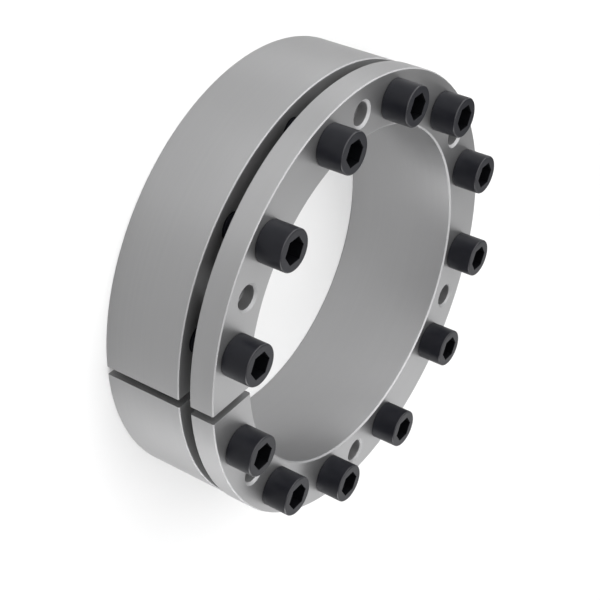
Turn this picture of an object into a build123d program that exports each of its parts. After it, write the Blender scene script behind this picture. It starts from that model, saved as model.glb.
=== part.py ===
from build123d import *

import os
from math import radians, tan

# Shaft locking assembly: two slit taper rings that twelve cap screws draw together.
# Tightening wedges the outer ring out into a hub and the inner ring in onto a shaft.
# The axis is Z, the origin is on it in the rear face, and the screw heads face +Z.
# Lengths are in millimetres, in the state as delivered, with the screws hand tight.

# Rings
SHAFT_DIAMETER = 180.0
SECTION_HEIGHT = 27.5  # from the shaft to the hub bore, across both rings
OUTER_RING_LENGTH = 43.5
DRAW_GAP = 7.0  # between the outer ring and the flange
FLANGE_THICKNESS = 13.5
FLANGE_OVERHANG = 0.5  # how far the flange stands proud of the hub seat
SLEEVE_REAR_WALL = 2.5  # from the bore to the cone line, at the thin end
TAPER = 1 / 20  # rise of the cone line for each millimetre along the axis
CLAMP_TRAVEL = 2.0  # how far the outer ring is drawn up to clamp
CLAMPED_CLEARANCE = 0.05  # left between the cones at the end of that travel
SLIT_WIDTH = 4.6
SLIT_DIRECTION = -90.0  # seen from the screw heads, from +X
EDGE_CHAMFER = 0.8
SLEEVE_END_CHAMFER = 0.5
ROOT_RELIEF_WIDTH = 4.0  # turned relief where the cone meets the flange
ROOT_RELIEF_DEPTH = 0.5

# Clamp screws
SCREW_COUNT = 12
SCREW_DIAMETER = 14.0
THREAD_ENGAGEMENT = 34.5
THREAD_CLEARANCE = 0.05  # radial, shank to tapped hole
SHANK_TIP_CHAMFER = 1.2
FLANGE_HOLE_CLEARANCE = 0.75  # radial, shank to flange hole
TAPPED_HOLE_COUNTERSINK = 0.5
HEAD_DIAMETER = 21.0
HEAD_HEIGHT = 14.0
HEAD_EDGE_CHAMFER = 0.7
SOCKET_WIDTH = 12.0  # across flats
SOCKET_DEPTH = 7.0
SOCKET_FLOOR_ANGLE = 30.0  # fall of the forged floor towards its middle

# Push-off threads, in every second space between screws
PUSH_OFF_COUNT = 6
PUSH_OFF_CORE = 12.0
PUSH_OFF_COUNTERSINK = 1.2

# Derived places
BORE_RADIUS = SHAFT_DIAMETER / 2
HUB_SEAT_RADIUS = BORE_RADIUS + SECTION_HEIGHT
FLANGE_RADIUS = HUB_SEAT_RADIUS + FLANGE_OVERHANG
SCREW_CIRCLE_RADIUS = (BORE_RADIUS + HUB_SEAT_RADIUS) / 2
FLANGE_BACK = OUTER_RING_LENGTH + DRAW_GAP
FLANGE_FACE = FLANGE_BACK + FLANGE_THICKNESS
SCREW_PITCH_ANGLE = 360 / SCREW_COUNT
FIRST_SCREW_ANGLE = SLIT_DIRECTION + SCREW_PITCH_ANGLE / 2
FIRST_PUSH_OFF_ANGLE = SLIT_DIRECTION + SCREW_PITCH_ANGLE
SCREW_RADIUS = SCREW_DIAMETER / 2
SCREW_LENGTH = FLANGE_THICKNESS + DRAW_GAP + THREAD_ENGAGEMENT
REST_CLEARANCE = CLAMPED_CLEARANCE + CLAMP_TRAVEL * TAPER


def cone_line(height, clearance=0.0):
    """Radius of the mating cones at a height, less a clearance."""
    return BORE_RADIUS + SLEEVE_REAR_WALL + height * TAPER - clearance


def turned(profile):
    """Solid turned about the axis from a half section drawn in the XZ plane."""
    return revolve(Plane.XZ * profile, Axis.Z)


def slit(outside_radius, length):
    """Radial cut right through one side of a ring."""
    block = Box(
        outside_radius,
        SLIT_WIDTH,
        length,
        align=(Align.MIN, Align.CENTER, Align.MIN),
    )
    return Rot(0, 0, SLIT_DIRECTION) * block


def countersunk_hole(radius, length, sink):
    """Through hole cutter with its foot at the origin and both mouths countersunk."""
    section = Polyline(
        (0, 0),
        (radius + sink, 0),
        (radius, sink),
        (radius, length - sink),
        (radius + sink, length),
        (0, length),
        close=True,
    )
    return turned(make_face(section))


def screw_places():
    """Places of the screws on their circle, each square to the X and Y axes."""
    return PolarLocations(
        SCREW_CIRCLE_RADIUS, SCREW_COUNT, start_angle=FIRST_SCREW_ANGLE, rotate=False
    )


def push_off_places():
    """Places of the push-off threads, on the screws' circle."""
    return PolarLocations(
        SCREW_CIRCLE_RADIUS, PUSH_OFF_COUNT, start_angle=FIRST_PUSH_OFF_ANGLE
    )


def outer_ring():
    """Slit ring with a straight hub seat outside, a tapered bore and tapped holes."""
    section = Polyline(
        (cone_line(0), 0),
        (HUB_SEAT_RADIUS, 0),
        (HUB_SEAT_RADIUS, OUTER_RING_LENGTH),
        (cone_line(OUTER_RING_LENGTH), OUTER_RING_LENGTH),
        close=True,
    )
    profile = make_face(section)
    profile = chamfer(profile.vertices(), EDGE_CHAMFER)
    tapped_hole = countersunk_hole(
        SCREW_RADIUS + THREAD_CLEARANCE, OUTER_RING_LENGTH, TAPPED_HOLE_COUNTERSINK
    )
    body = turned(profile) - slit(HUB_SEAT_RADIUS * 2, OUTER_RING_LENGTH)
    return body - screw_places() * tapped_hole


def inner_ring():
    """Slit taper sleeve and its flange, with clearance holes and push-off threads."""
    cone_end = FLANGE_BACK - ROOT_RELIEF_WIDTH
    cone_end_radius = cone_line(cone_end, REST_CLEARANCE)
    section = Polyline(
        (BORE_RADIUS, 0),
        (cone_line(0, REST_CLEARANCE), 0),
        (cone_end_radius, cone_end),
        (cone_end_radius - ROOT_RELIEF_DEPTH, cone_end),
        (cone_end_radius - ROOT_RELIEF_DEPTH, FLANGE_BACK),
        (FLANGE_RADIUS, FLANGE_BACK),
        (FLANGE_RADIUS, FLANGE_FACE),
        (BORE_RADIUS, FLANGE_FACE),
        close=True,
    )
    profile = make_face(section)
    flange_corners = profile.vertices().filter_by_position(
        Axis.X, FLANGE_RADIUS - EDGE_CHAMFER, FLANGE_RADIUS + EDGE_CHAMFER
    )
    profile = chamfer(flange_corners, EDGE_CHAMFER)
    bore_mouth = profile.vertices().sort_by_distance((BORE_RADIUS, FLANGE_FACE))[0]
    profile = chamfer(bore_mouth, EDGE_CHAMFER)
    sleeve_end = profile.vertices().sort_by(Axis.Y)[:2]
    profile = chamfer(sleeve_end, SLEEVE_END_CHAMFER)
    screw_hole = Cylinder(
        SCREW_RADIUS + FLANGE_HOLE_CLEARANCE,
        FLANGE_THICKNESS,
        align=(Align.CENTER, Align.CENTER, Align.MIN),
    )
    push_off_hole = countersunk_hole(
        PUSH_OFF_CORE / 2, FLANGE_THICKNESS, PUSH_OFF_COUNTERSINK
    )
    body = turned(profile) - slit(FLANGE_RADIUS * 2, FLANGE_FACE)
    flange_foot = Pos(0, 0, FLANGE_BACK)
    body -= flange_foot * screw_places() * screw_hole
    return body - flange_foot * push_off_places() * push_off_hole


def hexagon_socket():
    """Cutter for the hexagon socket, hanging from the origin: a hexagon over a sloping floor."""
    flat_radius = SOCKET_WIDTH / 2
    hexagon = RegularPolygon(flat_radius, 6, major_radius=False, rotation=30)
    floor_fall = flat_radius * tan(radians(SOCKET_FLOOR_ANGLE))
    floor = Cone(0, flat_radius, floor_fall, align=(Align.CENTER, Align.CENTER, Align.MAX))
    return extrude(hexagon, -SOCKET_DEPTH) + Pos(0, 0, -SOCKET_DEPTH) * floor


def clamp_screw():
    """Hexagon socket cap screw, standing on its head's bearing face at the origin."""
    head_radius = HEAD_DIAMETER / 2
    section = Polyline(
        (0, -SCREW_LENGTH),
        (SCREW_RADIUS - SHANK_TIP_CHAMFER, -SCREW_LENGTH),
        (SCREW_RADIUS, SHANK_TIP_CHAMFER - SCREW_LENGTH),
        (SCREW_RADIUS, 0),
        (head_radius, 0),
        (head_radius, HEAD_HEIGHT - HEAD_EDGE_CHAMFER),
        (head_radius - HEAD_EDGE_CHAMFER, HEAD_HEIGHT),
        (0, HEAD_HEIGHT),
        close=True,
    )
    return turned(make_face(section)) - Pos(0, 0, HEAD_HEIGHT) * hexagon_socket()


def write_part(name, shape):
    """Write one piece to its own file."""
    shape.label = name
    export_step(shape, f"parts/{name}.step")


def main():
    os.makedirs("parts", exist_ok=True)
    write_part("outer_ring", outer_ring())
    write_part("inner_ring", inner_ring())
    screw = clamp_screw()
    for number, place in enumerate(screw_places(), start=1):
        seated = place * Pos(0, 0, FLANGE_FACE) * screw
        write_part(f"clamp_screw_{number:02d}", seated)


main()
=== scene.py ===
"""Shaft locking assembly: two slit taper rings drawn together by twelve cap screws."""
import logging
import math
from dataclasses import dataclass
from enum import Enum, IntEnum

import bmesh
import bpy
from mathutils import Matrix, Vector


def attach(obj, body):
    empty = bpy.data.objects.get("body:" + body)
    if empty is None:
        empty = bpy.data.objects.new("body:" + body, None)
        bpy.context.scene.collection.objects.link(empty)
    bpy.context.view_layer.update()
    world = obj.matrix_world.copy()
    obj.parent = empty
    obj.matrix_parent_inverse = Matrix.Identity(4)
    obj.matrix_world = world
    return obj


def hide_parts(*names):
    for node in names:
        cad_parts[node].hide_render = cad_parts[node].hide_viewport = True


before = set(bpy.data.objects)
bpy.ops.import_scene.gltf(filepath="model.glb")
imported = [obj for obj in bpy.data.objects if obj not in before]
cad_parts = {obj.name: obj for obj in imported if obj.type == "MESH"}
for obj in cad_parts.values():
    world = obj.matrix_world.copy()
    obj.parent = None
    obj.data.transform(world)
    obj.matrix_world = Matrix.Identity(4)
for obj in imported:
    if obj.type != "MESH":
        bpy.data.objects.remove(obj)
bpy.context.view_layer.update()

LOG = logging.getLogger("shaft_locking_assembly")
Section = list[tuple[float, float]]
Colour = tuple[float, float, float]
Finishes = list[bpy.types.Material]

MM = 0.001
WELD = 0.001 * MM  # points as close as this become one
RING_WELD = 0.002 * MM  # the same, where threads meet the walls of the rings' holes
SAME = 1e-6  # two lengths as close as this, in millimetres, are equal

# What the rings and the screws share, in degrees round the axis and in millimetres.
SLIT_DIRECTION = -90.0
SECTORS = 24  # the rings' equal sectors, counted from the slit
SCREW_SECTORS = range(1, SECTORS, 2)
PUSH_OFF_SECTORS = range(2, SECTORS, 4)
STEPS = 16  # columns of points in a sector
HOLE_FACETS = 4 * STEPS  # so a hole's circle matches its sector's border
HOLE_CIRCLE = 103.75
FLANGE_FACE = 64.0

WHITE = (1.0, 1.0, 1.0, 1.0)
NOISE_MEAN = 0.5
THREAD_SIZES = {
    "Thread Start": "Float",
    "Pitch": "Float",
    "Turns": "Int",
    "Facets": "Int",
    "Base Radius": "Float",
    "Ridge Radius": "Float",
}


class Body(Enum):
    """The moving bodies that a piece rides on."""

    OUTER_RING = "outer_ring"
    INNER_RING = "inner_ring"


class Slot(Enum):
    """The record's material slots."""

    RING = "ring_steel"
    SCREW = "screw_steel"


class Skin(IntEnum):
    """The surfaces of a ring, by the tool that made them."""

    TURNED = 0
    FACED = 1
    GROUND = 2
    CUT = 3
    EDGE = 4
    MOUTH = 5


class Coat(IntEnum):
    """The surfaces of a screw, by their finish; the rim's middle has a painted highlight, the socket
    painted shade.
    """

    PLAIN = 0
    # painted highlight: lighter, glossier oxide on a band round the rim's middle
    PAINTED_HIGHLIGHT = 1
    # painted shade: near-black oxide on the socket's walls and floor
    SOCKET = 2


class Wire:
    """A socket in a node tree, on which Python arithmetic adds Math nodes."""

    def __init__(self, tree: "Tree", socket: bpy.types.NodeSocket) -> None:
        """Keeps the socket with the tree that it belongs to."""
        self.tree = tree
        self.socket = socket

    def output(self, name: str) -> "Wire":
        """Another output of the same node."""
        return Wire(self.tree, self.socket.node.outputs[name])

    def __add__(self, other: "Wire | float") -> "Wire":
        """The sum."""
        return self.tree.math("ADD", self, other)

    __radd__ = __add__

    def __sub__(self, other: "Wire | float") -> "Wire":
        """The difference."""
        return self.tree.math("SUBTRACT", self, other)

    def __rsub__(self, other: "Wire | float") -> "Wire":
        """The difference, with this socket taken away."""
        return self.tree.math("SUBTRACT", other, self)

    def __mul__(self, other: "Wire | float") -> "Wire":
        """The product."""
        return self.tree.math("MULTIPLY", self, other)

    __rmul__ = __mul__

    def __truediv__(self, other: "Wire | float") -> "Wire":
        """The quotient."""
        return self.tree.math("DIVIDE", self, other)

    def __rtruediv__(self, other: "Wire | float") -> "Wire":
        """The quotient, with this socket as the divisor."""
        return self.tree.math("DIVIDE", other, self)

    def __pow__(self, other: "Wire | float") -> "Wire":
        """The power."""
        return self.tree.math("POWER", self, other)

    def __abs__(self) -> "Wire":
        """The size without its sign."""
        return self.tree.math("ABSOLUTE", self)

    def floor(self) -> "Wire":
        """The next whole number down."""
        return self.tree.math("FLOOR", self)

    def cos(self) -> "Wire":
        """The cosine of this angle in radians."""
        return self.tree.math("COSINE", self)

    def sin(self) -> "Wire":
        """The sine of this angle in radians."""
        return self.tree.math("SINE", self)

    def held(self) -> "Wire":
        """This value, held between 0 and 1."""
        return self.tree.math("MINIMUM", self.tree.math("MAXIMUM", self, 0.0), 1.0)

    def wrapped(self, high: float) -> "Wire":
        """This value, brought round to between zero and a limit."""
        return self.tree.math("WRAP", self, high, 0.0)


Value = Wire | float


class Tree:
    """A node tree that is being filled."""

    def __init__(self, nodes: bpy.types.NodeTree) -> None:
        """Keeps the tree."""
        self.nodes = nodes

    def add(
        self,
        kind: str,
        settings: dict[str, object] | None = None,
        inputs: dict[str | int, object] | None = None,
        output: str | int = 0,
    ) -> Wire:
        """Adds one node, sets its settings and then its inputs.

        Args:
            kind: The node's type.
            settings: Its properties.
            inputs: Values or sockets by the input's name or number.
            output: Which output comes back.

        Returns:
            The socket of that output.
        """
        node = self.nodes.nodes.new(kind)
        for name, value in (settings or {}).items():
            setattr(node, name, value)
        for name, value in (inputs or {}).items():
            if isinstance(value, Wire):
                self.nodes.links.new(value.socket, node.inputs[name])
            else:
                node.inputs[name].default_value = value
        return Wire(self, node.outputs[output])

    def end(self, kind: str, surface: Wire) -> None:
        """Adds the output node of a material or world."""
        node = self.nodes.nodes.new(kind)
        self.nodes.links.new(surface.socket, node.inputs["Surface"])

    def math(self, operation: str, *values: Value) -> Wire:
        """Adds one Math node.

        Args:
            operation: What it works out.
            values: Its inputs in order.

        Returns:
            The result's socket.
        """
        return self.add("ShaderNodeMath", {"operation": operation}, dict(enumerate(values)))

    def vector(self, x: Value, y: Value, z: Value) -> Wire:
        """Three values as one vector."""
        return self.add("ShaderNodeCombineXYZ", inputs={"X": x, "Y": y, "Z": z})

    def polar(self, radius: Wire, angle: Wire, height: Value) -> Wire:
        """A place by its radius, its angle round the axis and its height."""
        return self.vector(radius * angle.cos(), radius * angle.sin(), height)

    def mixed(self, factor: Value, low: object, high: object) -> Wire:
        """A colour between two.

        Args:
            factor: 0 for the first colour, 1 for the second.
            low: The first colour, or its socket.
            high: The second colour, or its socket.

        Returns:
            The colour's socket.
        """
        low_input, high_input, colour_output = 6, 7, 2
        settings = {"data_type": "RGBA"}
        inputs = {"Factor": factor, low_input: low, high_input: high}
        return self.add("ShaderNodeMix", settings, inputs, output=colour_output)


class FinishTree(Tree):
    """The node tree of a new material, with what the finishes share."""

    def __init__(self, name: str) -> None:
        """Makes the material and empties its tree.

        Args:
            name: The material's name.
        """
        self.material = bpy.data.materials.new(name)
        self.material.use_nodes = True
        self.material.node_tree.nodes.clear()
        super().__init__(self.material.node_tree)

    def place(self) -> Wire:
        """Where a point lies on its own object, in metres."""
        return self.add("ShaderNodeTexCoord", output="Object")

    def noise(self, place: Wire, scale: float, detail: float) -> Wire:
        """One layer of noise, about 0.5 on average."""
        inputs = {"Vector": place, "Scale": scale, "Detail": detail, "Roughness": 0.55}
        return self.add("ShaderNodeTexNoise", inputs=inputs)

    def shades(self, factor: Wire, colour: Colour, darkest: float, lightest: float) -> Wire:
        """A colour that varies between two shades of one.

        Args:
            factor: 0 where it is darkest, 1 where it is lightest.
            colour: The colour.
            darkest: Share of the colour at its darkest.
            lightest: Share of the colour at its lightest.

        Returns:
            The colour's socket.
        """
        dark, light = ((*(share * part for part in colour), 1.0) for share in (darkest, lightest))
        return self.mixed(factor, dark, light)

    @staticmethod
    def uneven(value: Value, amount: float, *layers: Wire) -> Wire:
        """A value that varies with some layers of noise.

        Args:
            value: The value on average.
            amount: How much each layer changes it, from its least to its most.
            layers: The layers of noise.

        Returns:
            The value's socket.
        """
        for layer in layers:
            value = value + amount * (layer - NOISE_MEAN)
        return value

    def bump(self, height: Wire, strength: float, depth: float) -> Wire:
        """A bump that is as deep as given, in millimetres."""
        inputs = {"Strength": strength, "Distance": depth * MM, "Height": height}
        return self.add("ShaderNodeBump", inputs=inputs)

    def finish(self, surface: Wire) -> bpy.types.Material:
        """Ends the tree with its surface and hands over the material."""
        self.end("ShaderNodeOutputMaterial", surface)
        return self.material


class ShapeTree(Tree):
    """A Geometry Nodes tree with named inputs for its sizes."""

    def __init__(self, name: str, sizes: dict[str, str]) -> None:
        """Makes the tree with its inputs and its one output.

        Args:
            name: The tree's name.
            sizes: The input names with their kinds, such as Float or Int.
        """
        super().__init__(bpy.data.node_groups.new(name, "GeometryNodeTree"))
        face = self.nodes.interface
        for label, kind in sizes.items():
            face.new_socket(label, in_out="INPUT", socket_type=f"NodeSocket{kind}")
        face.new_socket("Piece", in_out="OUTPUT", socket_type="NodeSocketGeometry")
        self.start = self.nodes.nodes.new("NodeGroupInput")

    def size(self, name: str) -> Wire:
        """The socket of a named input."""
        return Wire(self, self.start.outputs[name])

    def grid(self, columns: Wire, rows: Value) -> tuple[Wire, Wire, Wire]:
        """A grid of points in columns, to be put in place.

        Args:
            columns: How many columns it has.
            rows: How many points a column has.

        Returns:
            The grid, and each point's column and row.
        """
        sizes = {"Size X": 1.0, "Size Y": 1.0, "Vertices X": columns, "Vertices Y": rows}
        grid = self.add("GeometryNodeMeshGrid", inputs=sizes)
        index = self.add("GeometryNodeInputIndex")
        column = (index / rows).floor()
        return grid, column, index - column * rows

    def group(self, other: "ShapeTree", inputs: dict[str, object]) -> Wire:
        """Uses another tree inside this one."""
        return self.add("GeometryNodeGroup", {"node_tree": other.nodes}, inputs)

    def joined(self, *parts: Wire) -> Wire:
        """Joins several geometries into one.

        Args:
            parts: The geometries, in order.

        Returns:
            The joined geometry.
        """
        join = self.nodes.nodes.new("GeometryNodeJoinGeometry")
        for part in reversed(parts):
            self.nodes.links.new(part.socket, join.inputs[0])
        return Wire(self, join.outputs[0])

    def merged(self, shape: Wire) -> Wire:
        """Welds points that lie on each other."""
        inputs = {"Geometry": shape, "Distance": WELD}
        return self.add("GeometryNodeMergeByDistance", inputs=inputs)

    def wound(self, grid: Wire, place: Wire) -> Wire:
        """Puts a grid's points in place and welds it where it meets itself."""
        inputs = {"Geometry": grid, "Position": place}
        return self.merged(self.add("GeometryNodeSetPosition", inputs=inputs))

    def moved(self, shape: Wire, place: Wire) -> Wire:
        """Shifts a shape."""
        inputs = {"Geometry": shape, "Translation": place}
        return self.add("GeometryNodeTransform", inputs=inputs)

    def finish(self, shape: Wire, finish: Wire | None = None) -> None:
        """Ends the tree, with real geometry in one material where a finish is given.

        Args:
            shape: What comes out.
            finish: The material's socket, or nothing for a tree used in another.
        """
        if finish is not None:
            shape = self.add("GeometryNodeRealizeInstances", inputs={"Geometry": shape})
            inputs = {"Geometry": shape, "Material": finish}
            shape = self.add("GeometryNodeSetMaterial", inputs=inputs)
        end = self.nodes.nodes.new("NodeGroupOutput")
        self.nodes.links.new(shape.socket, end.inputs[0])


def towards(turn: float, rise: float = 0.0) -> Vector:
    """Unit vector by its turn round the axis and its rise, in radians."""
    flat = math.cos(rise)
    return Vector((flat * math.cos(turn), flat * math.sin(turn), math.sin(rise)))


def sector_angle(sector: float) -> float:
    """Angle round the axis of a sector's middle, in radians."""
    return math.radians(SLIT_DIRECTION) + math.tau * sector / SECTORS


def turned_tree() -> ShapeTree:
    """Tree that turns a section about the axis; flagged points follow a hexagon.

    Returns:
        The tree, whose input mesh holds the section's points in the XZ plane.
    """
    tree = ShapeTree("turned", {"Section": "Geometry", "Facets": "Int"})
    section = tree.size("Section")
    facets = tree.size("Facets")
    settings = {"component": "MESH"}
    rows = tree.add("GeometryNodeAttributeDomainSize", settings, {"Geometry": section})
    grid, column, row = tree.grid(facets + 1, rows)
    position = tree.add("GeometryNodeInputPosition")
    settings = {"data_type": "FLOAT_VECTOR", "domain": "POINT"}
    inputs = {"Geometry": section, "Value": position, "Index": row}
    point = tree.add("GeometryNodeSampleIndex", settings, inputs)
    flag = tree.add("GeometryNodeInputNamedAttribute", {"data_type": "FLOAT"}, {"Name": "hexagon"})
    settings = {"data_type": "FLOAT", "domain": "POINT"}
    inputs = {"Geometry": section, "Value": flag, "Index": row}
    hexagon = tree.add("GeometryNodeSampleIndex", settings, inputs)
    axes = tree.add("ShaderNodeSeparateXYZ", inputs={"Vector": point})
    angle = column * math.tau / facets
    side = math.tau / 6
    off_flat = (angle + side / 2).wrapped(side) - side / 2
    radius = axes * (1 + hexagon * (1 / off_flat.cos() - 1))
    tree.finish(tree.wound(grid, tree.polar(radius, angle, axes.output("Z"))))
    return tree


def thread_tree() -> ShapeTree:
    """Tree for a threaded tube whose ridge runs out into a plain circle at both ends.

    Returns:
        The tree. Its tube is one pitch longer than its full turns.
    """
    tree = ShapeTree("thread", THREAD_SIZES)
    facets = tree.size("Facets")
    turns = tree.size("Turns")
    rows = 6  # between them lie a crest, two flanks and two half roots
    middle = (rows - 1) / 2
    crest_end = 0.5  # this and the next are in rows from the middle
    flank_end = 1.5
    end_turns = 2  # in which the ridge grows and fades
    columns = (turns + end_turns) * facets + 1
    grid, column, row = tree.grid(columns, rows)
    off_middle = row - middle
    from_middle = abs(off_middle)
    half_crest = 1 / 16  # this and the next two are shares of the pitch
    flank = 5 / 16
    half_root = 1 / 8
    reach = half_crest + flank * (from_middle - crest_end).held()
    reach = reach + half_root * (from_middle - flank_end).held()
    side = tree.math("SIGN", off_middle)
    ridge = (flank_end - from_middle).held()
    runout = tree.math("MINIMUM", column / facets, (columns - 1 - column) / facets).held()
    turn = column / facets - 1
    half_pitch = 0.5
    rise = tree.math("MAXIMUM", turn, 0.0) + (half_pitch + side * reach) * runout
    height = tree.size("Thread Start") + tree.size("Pitch") * rise
    depth = tree.size("Ridge Radius") - tree.size("Base Radius")
    radius = tree.size("Base Radius") + depth * ridge * runout
    tree.finish(tree.wound(grid, tree.polar(radius, turn * math.tau, height)))
    return tree


def screw_tree(turned: ShapeTree, thread: ShapeTree) -> ShapeTree:
    """Tree for one clamp screw: turned head and neck, thread, and a coned tip.

    Args:
        turned: The tree that turns a section.
        thread: The tree for a threaded tube.

    Returns:
        The tree, with its sizes as named inputs.
    """
    sizes = {"Section": "Geometry", **THREAD_SIZES}
    sizes |= {"Tip Radius": "Float", "Tip Height": "Float", "Place": "Vector"}
    sizes |= {"Finish": "Material"}
    tree = ShapeTree("clamp_screw", sizes)
    facets = tree.size("Facets")
    head = tree.group(turned, {"Section": tree.size("Section"), "Facets": facets})
    shank = tree.group(thread, {name: tree.size(name) for name in THREAD_SIZES})
    tip_height = tree.size("Tip Height")
    inputs = {
        "Vertices": facets,
        "Radius Top": tree.size("Base Radius"),
        "Radius Bottom": tree.size("Tip Radius"),
        "Depth": tip_height,
    }
    cone = tree.add("GeometryNodeMeshCone", {"fill_type": "NGON"}, inputs)
    inputs = {"Geometry": cone, "Selection": cone.output("Top")}
    open_cone = tree.add("GeometryNodeDeleteGeometry", {"domain": "FACE"}, inputs)
    drop = tree.vector(0.0, 0.0, tree.size("Thread Start") - tip_height)
    tip = tree.moved(open_cone, drop)
    shape = tree.merged(tree.joined(head, shank, tip))
    tree.finish(tree.moved(shape, tree.size("Place")), tree.size("Finish"))
    return tree


def threaded_holes_tree(thread: ShapeTree) -> ShapeTree:
    """Tree for the threads of a circle of holes, each turned to face the axis.

    Args:
        thread: The tree for a threaded tube.

    Returns:
        The tree, with its sizes as named inputs.
    """
    sizes = {"Section": "Geometry", **THREAD_SIZES, "Count": "Int"}
    sizes |= {"First Angle": "Float", "Circle Radius": "Float", "Finish": "Material"}
    tree = ShapeTree("threaded_holes", sizes)
    tube = tree.group(thread, {name: tree.size(name) for name in THREAD_SIZES})
    index = tree.add("GeometryNodeInputIndex")
    count = tree.size("Count")
    angle = tree.size("First Angle") + index * math.tau / count
    place = tree.polar(tree.size("Circle Radius"), angle, 0.0)
    points = tree.add("GeometryNodePoints", inputs={"Count": count, "Position": place})
    inputs = {"Points": points, "Instance": tube, "Rotation": tree.vector(0.0, 0.0, angle)}
    holes = tree.add("GeometryNodeInstanceOnPoints", inputs=inputs)
    tree.finish(holes, tree.size("Finish"))
    return tree


def linked(name: str, mesh: bpy.types.Mesh) -> bpy.types.Object:
    """Puts a mesh into the scene as an object at the origin.

    Args:
        name: The object's name.
        mesh: Its mesh.

    Returns:
        The object.
    """
    piece = bpy.data.objects.new(name, mesh)
    bpy.context.scene.collection.objects.link(piece)
    return piece


def section_mesh(points: Section, hexagon: set[int]) -> bpy.types.Mesh:
    """Mesh of a section's points, with the hexagon's points flagged.

    Args:
        points: Radius and height of each point, in millimetres.
        hexagon: The numbers of the points that follow a hexagon.

    Returns:
        The mesh, for the turned tree.
    """
    mesh = bpy.data.meshes.new("section")
    mesh.from_pydata([(r * MM, 0.0, z * MM) for r, z in points], [], [])
    flags = mesh.attributes.new("hexagon", "FLOAT", "POINT")
    flags.data.foreach_set("value", [float(n in hexagon) for n in range(len(points))])
    return mesh


def grown(tree: ShapeTree, mesh: bpy.types.Mesh, sizes: dict[str, object]) -> bpy.types.Mesh:
    """Runs a tree on a mesh and keeps the result as a plain mesh.

    Args:
        tree: The Geometry Nodes tree.
        mesh: The mesh that it starts from, which is used up.
        sizes: The values of its named inputs.

    Returns:
        The finished mesh.
    """
    seed = linked("seed", mesh)
    modifier = seed.modifiers.new("shape", "NODES")
    modifier.node_group = tree.nodes
    for item in tree.nodes.interface.items_tree:
        if item.in_out == "INPUT" and item.name in sizes:
            modifier[item.identifier] = sizes[item.name]
    seed.data.update()
    graph = bpy.context.evaluated_depsgraph_get()
    result = bpy.data.meshes.new_from_object(seed.evaluated_get(graph), depsgraph=graph)
    seed.modifiers.remove(modifier)
    bpy.data.objects.remove(seed)
    bpy.data.meshes.remove(mesh)
    return result


def closed(mesh: bpy.types.Mesh, crease: float) -> None:
    """Turns a closed mesh's faces outwards and keeps its edges crisp.

    Args:
        mesh: The mesh, which is changed.
        crease: The angle in degrees from which an edge stays sharp.
    """
    work = bmesh.new()
    work.from_mesh(mesh)
    bmesh.ops.recalc_face_normals(work, faces=work.faces)
    for face in work.faces:
        face.smooth = True
    open_edges = sum(len(edge.link_faces) != 2 for edge in work.edges)
    work.to_mesh(mesh)
    work.free()
    mesh.set_sharp_from_angle(angle=math.radians(crease))
    LOG.info("%s: %d faces, %d open edges", mesh.name, len(mesh.polygons), open_edges)


@dataclass(frozen=True)
class Corner:
    """One corner of a ring's section, in millimetres."""

    radius: float
    height: float
    chamfer: float = 0.0

    def points(self, before: "Corner", after: "Corner", softness: float) -> Section:
        """The corner's points: its chamfer with both edges slightly broken.

        Args:
            before: The corner before this one.
            after: The corner after it.
            softness: How far each edge of the chamfer is broken.

        Returns:
            Radius and height of each point, in order.
        """
        here = Vector((self.radius, self.height))
        if not self.chamfer:
            return [tuple(here)]
        back = (Vector((before.radius, before.height)) - here).normalized()
        on = (Vector((after.radius, after.height)) - here).normalized()
        first = here + back * self.chamfer
        last = here + on * self.chamfer
        across = (last - first).normalized() * softness
        points = [first + back * softness, first + across, last - across, last + on * softness]
        return [tuple(point) for point in points]


@dataclass(frozen=True)
class Hole:
    """A kind of hole through a ring's two end faces, in millimetres.

    Its wall is radius and height from the front to the rear. Piece 0 is the front
    face round the hole, and the pieces of the wall follow it. Some are bevels, and
    a thread's tube may take the place of one.
    """

    wall: Section
    sectors: range
    bevels: tuple[int, ...]
    threaded: int | None = None


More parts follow.
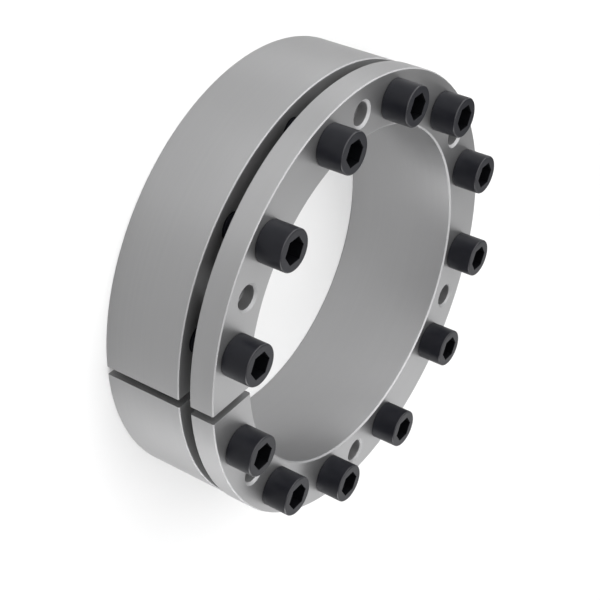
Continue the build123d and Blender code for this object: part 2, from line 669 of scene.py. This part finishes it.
@dataclass(frozen=True)
class SlitRing:
    """A turned ring with a slit, built in equal sectors, in millimetres and degrees."""

    name: str
    body: Body
    corners: list[Corner]
    holes: list[Hole]
    front_face: int
    rear_face: int
    front_skin: Skin = Skin.FACED
    rear_skin: Skin = Skin.FACED
    slit_width: float = 4.6
    softness: float = 0.08
    mouth_reach: float = 1.0
    crease: float = 20.0

    def outline(self) -> tuple[Section, dict[int, int], set[int]]:
        """The section's points, with the two holed faces cut into steps.

        Returns:
            The points in order, for each holed face's first corner the number of
            the point where its steps start, and the numbers of the points from
            which a piece of a chamfer starts.
        """
        points: Section = []
        starts: dict[int, int] = {}
        bevelled: set[int] = set()
        count = len(self.corners)
        pieces = 3  # a chamfer and its two broken edges
        for n, corner in enumerate(self.corners):
            after = self.corners[(n + 1) % count]
            if corner.chamfer:
                bevelled |= {len(points) + piece for piece in range(pieces)}
            points += corner.points(self.corners[n - 1], after, self.softness)
            if n in (self.front_face, self.rear_face):
                beyond = self.corners[(n + 2) % count]
                end = after.points(corner, beyond, self.softness)[0]
                start = points[-1]
                starts[n] = len(points) - 1
                for step in range(1, STEPS):
                    share = step / STEPS
                    radius = start[0] + (end[0] - start[0]) * share
                    height = start[1] + (end[1] - start[1]) * share
                    points.append((radius, height))
        return points, starts, bevelled

    def skins(self, points: Section, bevelled: set[int]) -> list[Skin]:
        """The kind of surface that each straight piece of the section makes.

        Args:
            points: The section's points.
            bevelled: The numbers of the points where a chamfer's pieces start.

        Returns:
            The kinds, in the points' order.
        """
        kinds = []
        bore = self.corners[0].radius
        front = self.corners[self.front_face].height
        rear = self.corners[self.rear_face].height
        ends = {front: self.front_skin, rear: self.rear_skin}
        for n, (radius, height) in enumerate(points):
            after = points[(n + 1) % len(points)]
            kind = Skin.TURNED
            if n in bevelled:
                kind = Skin.MOUTH if radius < bore + self.mouth_reach else Skin.EDGE
            elif abs(height - after[1]) < SAME:
                kind = ends.get(round(height, 3), Skin.FACED)
            elif abs(radius - bore) < SAME and abs(after[0] - bore) < SAME:
                kind = Skin.GROUND
            kinds.append(kind)
        return kinds

    def column_angle(self, column: int, radius: float) -> float:
        """The angle of a column of points; beside the slit it keeps the slit parallel.

        Args:
            column: The column's number, from one side of the slit to the other.
            radius: Radius in millimetres.

        Returns:
            The angle in radians.
        """
        last = SECTORS * STEPS
        half = STEPS // 2
        edge = math.asin(self.slit_width / 2 / radius) / math.tau * last
        place = float(column)
        if column < half:
            place = edge + (half - edge) * column / half
        elif column > last - half:
            place = last - edge - (half - edge) * (last - column) / half
        return sector_angle(place / STEPS)

    def mesh(self, threads: list[bpy.types.Mesh]) -> bpy.types.Mesh:
        """Builds the ring.

        Args:
            threads: Meshes of the threads in its holes, which are used up.

        Returns:
            The ring's closed mesh.
        """
        shape = RingShape(self)
        shape.cover()
        for hole in self.holes:
            for sector in hole.sectors:
                shape.bore(hole, sector)
        return shape.finished(threads)

    def piece(self, finishes: Finishes, threads: list[bpy.types.Mesh]) -> bpy.types.Object:
        """Makes the ring's object in place of its CAD node.

        Args:
            finishes: The finish of each kind of surface, in the order of Skin.
            threads: Meshes of the threads in its holes.

        Returns:
            The finished piece.
        """
        mesh = self.mesh(threads)
        closed(mesh, self.crease)
        for finish in finishes:
            mesh.materials.append(finish)
        ring = linked(f"{self.name}_turned", mesh)
        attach(ring, self.body.value)
        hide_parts(self.name)
        return ring


class RingShape:
    """A slit ring's mesh while it is being built."""

    def __init__(self, ring: SlitRing) -> None:
        """Adds the section's points in every column round the ring.

        Args:
            ring: The ring.
        """
        self.ring = ring
        self.work = bmesh.new()
        points, self.starts, bevelled = ring.outline()
        self.skins = ring.skins(points, bevelled)
        self.grid = []
        for column in range(SECTORS * STEPS + 1):
            line = []
            for radius, height in points:
                angle = ring.column_angle(column, radius)
                place = Vector((radius * math.cos(angle), radius * math.sin(angle), height))
                line.append(self.work.verts.new(place * MM))
            self.grid.append(line)

    def cover(self) -> None:
        """Adds the faces between the columns, except round the holes, and the slit's walls."""
        drilled = {sector for hole in self.ring.holes for sector in hole.sectors}
        holed = {start + n for start in self.starts.values() for n in range(STEPS)}
        for column, (near, far) in enumerate(zip(self.grid, self.grid[1:])):
            sector = (column + STEPS // 2) // STEPS
            for row, skin in enumerate(self.skins):
                if sector in drilled and row in holed:
                    continue
                after = (row + 1) % len(self.skins)
                face = self.work.faces.new((near[row], near[after], far[after], far[row]))
                face.material_index = skin
        for wall in (self.grid[0], reversed(self.grid[-1])):
            self.work.faces.new(wall).material_index = Skin.CUT

    def circle(self, sector: int, radius: float, height: float) -> list:
        """Adds the points of a circle round a hole's axis, matched to its sector's border.

        Args:
            sector: The hole's sector, counted from the slit.
            radius: The circle's radius in millimetres.
            height: Its height in millimetres.

        Returns:
            The new points, in the border's order.
        """
        middle = sector_angle(sector)
        centre = towards(middle) * HOLE_CIRCLE + Vector((0.0, 0.0, height))
        first = middle + math.radians(225)  # towards the border's low inner corner
        circle = []
        for n in range(HOLE_FACETS):
            spoke = towards(first - math.tau * n / HOLE_FACETS) * radius
            circle.append(self.work.verts.new((centre + spoke) * MM))
        return circle

    def border(self, sector: int, start: int) -> list:
        """The border of one sector of an end face, from its low inner corner.

        Args:
            sector: The sector, counted from the slit.
            start: The section point where the face starts.

        Returns:
            The border's points in order.
        """
        grid = self.grid
        low = sector * STEPS - STEPS // 2
        span = range(start, start + STEPS + 1)
        count = len(self.skins)
        outwards = grid[low][start].co.xy.length < grid[low][(start + 1) % count].co.xy.length
        rows = [n % count for n in (span if outwards else reversed(span))]
        inner = [grid[low + n][rows[0]] for n in range(STEPS)]
        far = [grid[low + STEPS][rows[n]] for n in range(STEPS)]
        outer = [grid[low + STEPS - n][rows[-1]] for n in range(STEPS)]
        near = [grid[low][rows[STEPS - n]] for n in range(STEPS)]
        return inner + far + outer + near

    def bridge(self, one: list, other: list, skin: Skin) -> None:
        """Joins two loops of as many points with faces of one kind.

        Args:
            one: The points of the first loop.
            other: The points of the second loop.
            skin: The kind of surface.
        """
        for n in range(len(one)):
            face = self.work.faces.new((one[n - 1], one[n], other[n], other[n - 1]))
            face.material_index = skin

    def bore(self, hole: Hole, sector: int) -> None:
        """Adds one hole: both end faces round it, and its wall but for its thread.

        Args:
            hole: The kind of hole.
            sector: The hole's sector.
        """
        loops = [self.border(sector, self.starts[self.ring.front_face])]
        loops += [self.circle(sector, radius, height) for radius, height in hole.wall]
        loops.append(self.border(sector, self.starts[self.ring.rear_face]))
        skins = [Skin.EDGE if n in hole.bevels else Skin.CUT for n in range(len(loops) - 1)]
        skins[0] = self.ring.front_skin
        skins[-1] = self.ring.rear_skin
        for n, skin in enumerate(skins):
            if n != hole.threaded:
                self.bridge(loops[n], loops[n + 1], skin)

    def finished(self, threads: list[bpy.types.Mesh]) -> bpy.types.Mesh:
        """Adds the threads, welds all that meets and ends the work.

        Args:
            threads: Meshes of the threads in the holes, which are used up.

        Returns:
            The ring's closed mesh.
        """
        work = self.work
        loose = [point for point in work.verts if not point.link_faces]
        bmesh.ops.delete(work, geom=loose, context="VERTS")
        bored = len(work.faces)
        for thread in threads:
            work.from_mesh(thread)
            bpy.data.meshes.remove(thread)
        for face in list(work.faces)[bored:]:
            face.material_index = Skin.CUT
        bmesh.ops.remove_doubles(work, verts=work.verts, dist=RING_WELD)
        mesh = bpy.data.meshes.new(self.ring.name)
        work.to_mesh(mesh)
        work.free()
        return mesh


@dataclass(frozen=True)
class Thread:
    """A helical thread, in millimetres; it takes one pitch more than its turns."""

    start: float
    turns: int
    base_radius: float
    ridge_radius: float
    facets: int
    pitch: float = 2.0

    def sizes(self) -> dict[str, object]:
        """The thread's values for the trees' named inputs.

        Returns:
            The values by the input's name, with lengths in metres.
        """
        return {
            "Thread Start": self.start * MM,
            "Pitch": self.pitch * MM,
            "Turns": self.turns,
            "Facets": self.facets,
            "Base Radius": self.base_radius * MM,
            "Ridge Radius": self.ridge_radius * MM,
        }

    @property
    def end(self) -> float:
        """Height of the tube's upper end, in millimetres."""
        return self.start + self.pitch * (self.turns + 1)


@dataclass(frozen=True)
class Rings:
    """The outer ring and the flanged inner ring, in millimetres."""

    bore_radius: float = 90.0
    seat_radius: float = 117.5
    flange_radius: float = 118.0
    outer_length: float = 43.5
    flange_back: float = 50.5
    cone_start: float = 92.5
    taper: float = 1 / 20
    rest_clearance: float = 0.15
    relief_width: float = 4.0
    relief_depth: float = 0.5
    edge: float = 0.5
    rear_edge: float = 0.3
    bore_edge: float = 0.75
    sleeve_edge: float = 0.5
    clearance_hole: float = 7.75
    clearance_edge: float = 0.25
    tapped_sink: float = 0.5
    push_off_sink: float = 1.2
    sink_edge: float = 0.1
    tapped: Thread = Thread(start=0.5, turns=2, base_radius=7.05, ridge_radius=6.0, facets=HOLE_FACETS)
    push_off: Thread = Thread(start=51.7, turns=2, base_radius=6.0, ridge_radius=7.0, facets=HOLE_FACETS)

    def cone(self, height: float) -> float:
        """Radius of the outer ring's bore at a height."""
        return self.cone_start + height * self.taper

    def outer(self) -> SlitRing:
        """The outer ring: straight hub seat, tapered bore and tapped holes.

        Returns:
            The ring, ready to build.
        """
        length = self.outer_length
        corners = [
            Corner(self.cone(0), 0.0, self.sleeve_edge),
            Corner(self.seat_radius, 0.0, self.rear_edge),
            Corner(self.seat_radius, length, self.edge),
            Corner(self.cone(length), length, self.edge),
        ]
        core = self.tapped.base_radius
        sink = self.tapped_sink
        wall = [
            (core + sink, length),
            (core, length - sink),
            (core, self.tapped.end),
            (core, self.tapped.start),
            (core + sink, 0.0),
        ]
        return SlitRing(
            "outer_ring",
            Body.OUTER_RING,
            corners,
            [Hole(wall, SCREW_SECTORS, bevels=(1,), threaded=3)],
            front_face=2,
            rear_face=0,
            front_skin=Skin.CUT,
        )

    def inner(self) -> SlitRing:
        """The inner ring: taper sleeve and flange, clearance and push-off holes.

        Returns:
            The ring, ready to build.
        """
        relief_start = self.flange_back - self.relief_width
        cone_end = self.cone(relief_start) - self.rest_clearance
        relief = cone_end - self.relief_depth
        corners = [
            Corner(self.bore_radius, 0.0, self.sleeve_edge),
            Corner(self.cone(0) - self.rest_clearance, 0.0, self.sleeve_edge),
            Corner(cone_end, relief_start),
            Corner(relief, relief_start),
            Corner(relief, self.flange_back),
            Corner(self.flange_radius, self.flange_back, self.edge),
            Corner(self.flange_radius, FLANGE_FACE, self.edge),
            Corner(self.bore_radius, FLANGE_FACE, self.bore_edge),
        ]
        clear = self.clearance_hole
        edge = self.clearance_edge
        clearance = [
            (clear + edge, FLANGE_FACE),
            (clear, FLANGE_FACE - edge),
            (clear, self.flange_back + edge),
            (clear + edge, self.flange_back),
        ]
        core = self.push_off.base_radius
        sink = self.push_off_sink
        edge = self.sink_edge
        push_off = [
            (core + sink + edge, FLANGE_FACE),
            (core + sink - edge, FLANGE_FACE - edge),
            (core, FLANGE_FACE - sink),
            (core, self.push_off.end),
            (core, self.push_off.start),
            (core + sink, self.flange_back),
        ]
        holes = [
            Hole(clearance, SCREW_SECTORS, bevels=(1, 3)),
            Hole(push_off, PUSH_OFF_SECTORS, bevels=(1, 2), threaded=4),
        ]
        return SlitRing(
            "inner_ring",
            Body.INNER_RING,
            corners,
            holes,
            front_face=6,
            rear_face=4,
            rear_skin=Skin.CUT,
        )

    @staticmethod
    def threads(
        shape: Thread, sectors: range, finish: bpy.types.Material, tree: ShapeTree
    ) -> bpy.types.Mesh:
        """Cuts the threads of a circle of holes.

        Args:
            shape: The thread in each hole.
            sectors: The holes' sectors.
            finish: The threads' finish.
            tree: The tree for a circle of threaded holes.

        Returns:
            The mesh of all the threads.
        """
        sizes = shape.sizes() | {
            "Count": len(sectors),
            "First Angle": sector_angle(sectors[0]),
            "Circle Radius": HOLE_CIRCLE * MM,
            "Finish": finish,
        }
        return grown(tree, section_mesh([], set()), sizes)

    def build(self, finishes: Finishes, tree: ShapeTree) -> list[bpy.types.Object]:
        """Builds both rings with the threads in their holes.

        Args:
            finishes: The finish of each kind of surface, in the order of Skin.
            tree: The tree for a circle of threaded holes.

        Returns:
            The two pieces.
        """
        tapped = self.threads(self.tapped, SCREW_SECTORS, finishes[Skin.CUT], tree)
        push_off = self.threads(self.push_off, PUSH_OFF_SECTORS, finishes[Skin.CUT], tree)
        outer = self.outer().piece(finishes, [tapped])
        return [outer, self.inner().piece(finishes, [push_off])]


@dataclass(frozen=True)
class ClampScrews:
    """The twelve hexagon socket cap screws, in millimetres and degrees."""

    seat: float = FLANGE_FACE
    head_radius: float = 10.5
    head_height: float = 14.0
    rim_radius: float = 0.75
    rim_steps: int = 6
    rim_margin: float = 0.06
    # half-width in degrees of the rim band that carries the painted highlight
    painted_highlight: float = 25.0
    foot_edge: float = 0.3
    socket_flat: float = 6.0
    socket_edge: float = 0.12
    socket_depth: float = 7.0
    socket_floor_angle: float = 30.0
    socket_floor_step: float = 0.05
    shank_radius: float = 7.0
    neck_fillet: float = 0.5
    neck_steps: int = 3
    tip_radius: float = 4.9
    tip_height: float = 0.9
    thread: Thread = Thread(start=9.9, turns=23, base_radius=5.773, ridge_radius=7.0, facets=72)
    crease: float = 24.0

    def section(self) -> tuple[Section, set[int]]:
        """The head and neck's section, from the socket's floor to the thread.

        Returns:
            The points, and the numbers of those that follow the hexagon.
        """
        top = self.seat + self.head_height
        floor = top - self.socket_depth
        flat = self.socket_flat
        edge = self.socket_edge
        fall = flat * math.tan(math.radians(self.socket_floor_angle))
        rim_middle = self.head_radius - self.rim_radius
        points: Section = [(0.0, floor - fall), (flat - self.socket_floor_step, floor)]
        wall = [(flat, floor), (flat, top - edge), (flat + edge, top)]
        hexagon = {len(points) + n for n in range(len(wall))}
        points += wall
        points.append((rim_middle - self.rim_margin, top))
        for step in range(self.rim_steps + 1):
            angle = math.radians(90 - 90 * step / self.rim_steps)
            radius = rim_middle + self.rim_radius * math.cos(angle)
            points.append((radius, top - self.rim_radius * (1 - math.sin(angle))))
        points.append((self.head_radius, top - self.rim_radius - self.rim_margin))
        points.append((self.head_radius, self.seat + self.foot_edge))
        points.append((self.head_radius - self.foot_edge, self.seat))
        neck = self.shank_radius
        for step in range(self.neck_steps + 1):
            angle = math.radians(90 * step / self.neck_steps)
            radius = neck + self.neck_fillet * (1 - math.sin(angle))
            points.append((radius, self.seat - self.neck_fillet * (1 - math.cos(angle))))
        points.append((neck, self.thread.end + neck - self.thread.base_radius))
        points.append((self.thread.base_radius, self.thread.end))
        return points, hexagon

    def coat(self, radius: float, height: float) -> Coat:
        """The finish at a place on a screw: a painted highlight on its rim's middle, painted shade in
        its socket.

        Args:
            radius: Distance from the screw's axis, in millimetres.
            height: Height in millimetres.

        Returns:
            The kind of finish.
        """
        top = self.seat + self.head_height
        corner = self.socket_flat / math.cos(math.tau / 12)  # from the axis, where two flats meet
        # Painted shade: the socket's walls and floor get a near-black oxide.
        if self.seat < height < top - self.socket_edge and radius < corner:
            return Coat.SOCKET
        # Painted highlight: the band round the rim's middle gets a lighter, glossier oxide.
        spoke = Vector((radius, height)) - Vector((self.head_radius, top))
        spoke += Vector((self.rim_radius, self.rim_radius))
        outside = spoke.x > 0 and spoke.y > 0
        rim_middle = Vector((1.0, 1.0))
        if outside and math.degrees(spoke.angle(rim_middle)) < self.painted_highlight:
            return Coat.PAINTED_HIGHLIGHT
        return Coat.PLAIN

    def dress(self, mesh: bpy.types.Mesh, place: Vector, finishes: Finishes) -> None:
        """Gives each face of a screw its finish.

        Args:
            mesh: The screw's mesh.
            place: The screw's place, in metres.
            finishes: The finishes, in the order of Coat.
        """
        mesh.materials.clear()
        for finish in finishes:
            mesh.materials.append(finish)
        for face in mesh.polygons:
            radius = (face.center.xy - place.xy).length / MM
            face.material_index = self.coat(radius, face.center.z / MM)

    def build(self, finishes: Finishes, tree: ShapeTree) -> list[bpy.types.Object]:
        """Builds every screw as a piece of its own.

        Args:
            finishes: The finishes, in the order of Coat.
            tree: The tree for one screw.

        Returns:
            The pieces, from number 1 on.
        """
        screws = []
        for number, sector in enumerate(SCREW_SECTORS, start=1):
            place = towards(sector_angle(sector)) * HOLE_CIRCLE * MM
            sizes = self.thread.sizes() | {
                "Tip Radius": self.tip_radius * MM,
                "Tip Height": self.tip_height * MM,
                "Place": tuple(place),
                "Finish": finishes[Coat.PLAIN],
            }
            mesh = grown(tree, section_mesh(*self.section()), sizes)
            name = f"clamp_screw_{number:02d}"
            mesh.name = name
            closed(mesh, self.crease)
            self.dress(mesh, place, finishes)
            screw = linked(f"{name}_threaded", mesh)
            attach(screw, name)
            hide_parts(name)
            screws.append(screw)
        return screws


@dataclass(frozen=True)
class TurnedSteel:
    """Bright steel, fine turned: satin, with faint feed lines round the axis."""

    name: str
    roughness: float
    tone: float = 0.43
    blue: float = 1.01
    grain: float = 0.7
    grain_turn: float = 0.25
    contrast: float = 0.07
    line_share: float = 0.6
    drift_share: float = 0.25
    cloud_share: float = 0.15
    unevenness: float = 0.06
    line_depth: float = 0.01

    def material(self) -> bpy.types.Material:
        """Builds the material.

        Returns:
            The material.
        """
        tree = FinishTree(self.name)
        place = tree.place()
        axes = tree.add("ShaderNodeSeparateXYZ", inputs={"Vector": place})
        height = axes.output("Z")
        radius = (axes * axes + axes.output("Y") * axes.output("Y")) ** 0.5
        change = 4  # how much the pattern changes in each metre across
        feed = tree.vector(radius / MM, height / MM, axes * change)
        lines = tree.noise(feed, scale=3.0, detail=2.0)
        drift = tree.noise(feed, scale=0.35, detail=2.0)
        cloud = tree.noise(place, scale=30.0, detail=3.0)
        tone = self.line_share * lines + self.drift_share * drift + self.cloud_share * cloud
        colour = (self.tone, self.tone, self.tone * self.blue)
        inputs = {
            "Base Color": tree.shades(tone, colour, 1 - self.contrast, 1 + self.contrast),
            "Metallic": 1.0,
            "Roughness": tree.uneven(self.roughness, self.unevenness, lines, cloud),
            "Anisotropic": self.grain,
            "Anisotropic Rotation": self.grain_turn,
            "Normal": tree.bump(lines, strength=0.05, depth=self.line_depth),
        }
        return tree.finish(tree.add("ShaderNodeBsdfPrincipled", inputs=inputs))


@dataclass(frozen=True)
class BlackOxide:
    """Blackened steel with a thin oil film, as on hardened cap screws."""

    name: str
    colour: Colour
    roughness: float
    sheen: float
    darkest: float = 0.82
    lightest: float = 1.2
    unevenness: float = 0.12
    grain_depth: float = 0.04

    def material(self) -> bpy.types.Material:
        """Builds the material.

        Returns:
            The material.
        """
        tree = FinishTree(self.name)
        place = tree.place()
        mottle = tree.noise(place, scale=260.0, detail=4.0)
        grain = tree.noise(place, scale=2600.0, detail=2.0)
        inputs = {
            "Base Color": tree.shades(mottle, self.colour, self.darkest, self.lightest),
            "Roughness": tree.uneven(self.roughness, self.unevenness, mottle),
            "Specular IOR Level": self.sheen,
            "Normal": tree.bump(grain, strength=0.12, depth=self.grain_depth),
        }
        return tree.finish(tree.add("ShaderNodeBsdfPrincipled", inputs=inputs))


SKINS = {
    Skin.TURNED: TurnedSteel("turned_steel", roughness=0.4),
    Skin.FACED: TurnedSteel("faced_steel", roughness=0.43, grain=0.0),
    Skin.GROUND: TurnedSteel("ground_steel", roughness=0.4, tone=0.51),
    Skin.CUT: TurnedSteel("cut_steel", roughness=0.58, tone=0.37, grain=0.0),
    Skin.EDGE: TurnedSteel("dressed_edge", roughness=0.7, tone=0.46, grain=0.0),
    Skin.MOUTH: TurnedSteel("bore_mouth", roughness=0.6, tone=0.48, grain=0.0),
}
COATS = {
    Coat.PLAIN: BlackOxide("black_oxide", (0.0072, 0.0076, 0.0112), roughness=0.38, sheen=0.27),
    # painted highlight along the heads' rims: lighter colour and more sheen
    Coat.PAINTED_HIGHLIGHT: BlackOxide("painted_highlight_oxide", (0.014, 0.014, 0.018), roughness=0.34, sheen=0.45),
    # painted shade in the sockets: a darker colour and less sheen
    Coat.SOCKET: BlackOxide("painted_socket_shade", (0.003, 0.0032, 0.004), roughness=0.45, sheen=0.12),
}


@dataclass(frozen=True)
class Softbox:
    """A square soft lamp, placed by its direction from the object.

    Angles are in degrees, the distance and the size in metres, the power in watts.
    """

    name: str
    azimuth: float
    elevation: float
    distance: float
    size: float
    power: float
    aim: tuple[float, float, float] = (0.0, 0.0, 0.03)

    def build(self) -> bpy.types.Object:
        """Hangs the lamp.

        Returns:
            The lamp's object.
        """
        lamp = bpy.data.lights.new(self.name, "AREA")
        lamp.size = self.size
        lamp.energy = self.power
        direction = towards(math.radians(self.azimuth), math.radians(self.elevation))
        holder = bpy.data.objects.new(self.name, lamp)
        holder.location = Vector(self.aim) + direction * self.distance
        holder.rotation_euler = direction.to_track_quat("Z", "Y").to_euler()
        holder.visible_camera = False
        bpy.context.scene.collection.objects.link(holder)
        return holder


@dataclass(frozen=True)
class Studio:
    """A pale floor under soft lamps and an even sky, in metres.

    The metal mirrors the floor's own colour, and the camera sees a paler one.
    """

    floor_colour: tuple[float, float, float, float] = (0.5, 0.5, 0.5, 1.0)
    seen_colour: tuple[float, float, float, float] = (0.8, 0.8, 0.8, 1.0)
    floor_half: float = 8.0
    floor_drop: float = 0.00005
    floor_glow: float = 0.2
    floor_lift: float = 0.04
    pool: tuple[float, float] = (0.2, 0.7)
    sky: float = 0.16
    lamps: tuple[Softbox, ...] = (
        Softbox("key", 122.0, 61.0, 1.2, 0.9, 0.59),
        Softbox("camera_side", -115.0, 58.0, 1.1, 1.3, 1.61),
        Softbox("camera_left", -150.0, 58.0, 1.1, 1.3, 9.48),
        Softbox("overhead", 0.0, 88.0, 1.1, 1.3, 2.0),
        Softbox("upper_wall", 150.0, 30.0, 1.0, 1.0, 6.0),
        Softbox("upper_edge", 140.0, 6.0, 0.8, 0.35, 1.06),
        Softbox("left_edge", 190.0, 6.0, 0.8, 0.35, 0.83),
        Softbox("lower_left", 215.0, 6.0, 0.8, 0.35, 0.63),
        Softbox("lower_wall", -30.0, 6.0, 0.8, 0.35, 2.33),
        Softbox("lower_bore", -30.0, 25.0, 1.0, 0.9, 4.59),
        Softbox("front_low", 14.0, 24.0, 1.1, 0.65, 1.02),
        Softbox("front_high", 30.0, 45.0, 1.0, 0.7, 0.78),
        Softbox("face_glint", 47.0, 24.0, 1.0, 0.48, 0.65),
        Softbox("rim_glint", 98.0, 16.0, 1.0, 0.3, 0.72),
    )

    def whiteness(self, tree: FinishTree) -> Wire:
        """How far the floor has gone over to plain white, away from the object.

        Args:
            tree: The floor's tree.

        Returns:
            The socket of the share, from 0 to 1.
        """
        place = tree.place()
        distance = tree.add("ShaderNodeVectorMath", {"operation": "LENGTH"}, {0: place}, "Value")
        near, far = self.pool
        share = ((distance - near) / (far - near)).held()
        return share * share * (3 - 2 * share)

    def floor(self) -> bpy.types.Object:
        """Lays the floor.

        Returns:
            The floor's object.
        """
        mesh = bpy.data.meshes.new("floor")
        half = self.floor_half
        level = -self.floor_drop
        sides = [(-half, -half), (half, -half), (half, half), (-half, half)]
        mesh.from_pydata([(x, y, level) for x, y in sides], [], [(0, 1, 2, 3)])
        floor = linked("floor", mesh)
        tree = FinishTree("pale_floor")
        rays = tree.add("ShaderNodeLightPath", output="Is Camera Ray")
        colour = tree.mixed(rays, self.floor_colour, self.seen_colour)
        paint = tree.add("ShaderNodeBsdfDiffuse", inputs={"Color": colour})
        glow = tree.add("ShaderNodeEmission", inputs={"Color": WHITE, "Strength": 1.0})
        mirrored = rays.output("Is Glossy Ray") + rays.output("Is Transmission Ray")
        share = self.floor_glow * mirrored + self.whiteness(tree) * rays
        inputs = {0: share.held(), 1: paint, 2: glow}
        shown = tree.add("ShaderNodeMixShader", inputs=inputs)
        inputs = {"Color": WHITE, "Strength": self.floor_lift * rays}
        lift = tree.add("ShaderNodeEmission", inputs=inputs)
        surface = tree.add("ShaderNodeAddShader", inputs={0: shown, 1: lift})
        mesh.materials.append(tree.finish(surface))
        return floor

    def world(self) -> None:
        """Gives the scene its even sky, seen as white."""
        world = bpy.data.worlds.new("studio")
        world.use_nodes = True
        world.node_tree.nodes.clear()
        tree = Tree(world.node_tree)
        rays = tree.add("ShaderNodeLightPath", output="Is Camera Ray")
        strength = self.sky + (1.0 - self.sky) * rays
        inputs = {"Color": WHITE, "Strength": strength}
        background = tree.add("ShaderNodeBackground", inputs=inputs)
        tree.end("ShaderNodeOutputWorld", background)
        bpy.context.scene.world = world

    def build(self) -> None:
        """Sets up the floor, the sky and the lamps."""
        self.floor()
        self.world()
        for lamp in self.lamps:
            lamp.build()


@dataclass(frozen=True)
class PhotographView:
    """The camera, placed and turned as the photograph was taken.

    Its place is in metres, its lens and sensor in millimetres.
    """

    lens: float = 86.036
    sensor: float = 36.0
    place: tuple[float, float, float] = (-0.422297, -0.493914, 0.384646)
    right: tuple[float, float, float] = (0.00733838, 0.58160527, 0.81343805)
    up: tuple[float, float, float] = (-0.81109586, 0.47924084, -0.33533823)
    back: tuple[float, float, float] = (-0.58486722, -0.65731539, 0.47525448)

    def build(self) -> bpy.types.Object:
        """Sets up the camera.

        Returns:
            The camera's object.
        """
        camera = bpy.data.cameras.new("photograph_view")
        camera.lens = self.lens
        camera.sensor_width = self.sensor
        holder = bpy.data.objects.new("photograph_view", camera)
        turn = Matrix((self.right, self.up, self.back)).transposed()
        holder.matrix_world = Matrix.Translation(self.place) @ turn.to_4x4()
        bpy.context.scene.collection.objects.link(holder)
        bpy.context.scene.camera = holder
        return holder


def main() -> None:
    """Builds the assembly, its studio and its camera."""
    logging.basicConfig(level=logging.INFO, format="%(message)s")
    thread = thread_tree()
    skins = [SKINS[kind].material() for kind in Skin]
    coats = [COATS[kind].material() for kind in Coat]
    for ring in Rings().build(skins, threaded_holes_tree(thread)):
        LOG.info("built %s", ring.name)
    for screw in ClampScrews().build(coats, screw_tree(turned_tree(), thread)):
        LOG.info("built %s", screw.name)
    Studio().build()
    PhotographView().build()
    bpy.context.scene.view_settings.view_transform = "Standard"


if __name__ == "__main__":
    main()
